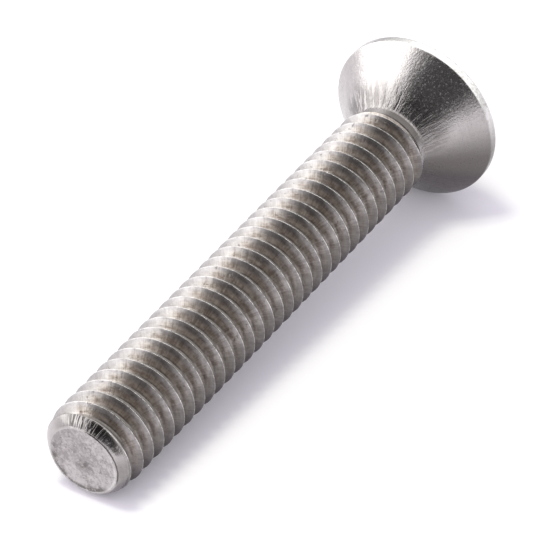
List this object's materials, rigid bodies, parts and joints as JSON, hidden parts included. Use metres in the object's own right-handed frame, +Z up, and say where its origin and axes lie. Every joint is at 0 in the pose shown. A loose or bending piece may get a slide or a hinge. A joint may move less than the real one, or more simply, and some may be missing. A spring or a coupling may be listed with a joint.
{
  "type": "raised countersunk machine screw",
  "caption": "Metric machine screw lying on its side, with a raised countersunk head, a cross recess and a fully threaded shank.",
  "frame": {"origin": "centre of the lying screw's bounding box in X and Y, on the ground that it lies on", "axes": "+X from the point towards the head, +Z up, the screw's own axis in the XZ plane and rising 4.2 degrees towards the head, as the screw lies on its rim and its first full crest"},
  "size_m": [0.0256, 0.0072, 0.0072],
  "materials": {
    "stainless_steel": "plain cold-formed stainless steel, semi-bright, with fine rolling and forging marks"
  },
  "bodies": {
    "root": {"machine_screw": "stainless_steel"}
  },
  "joints": []
}
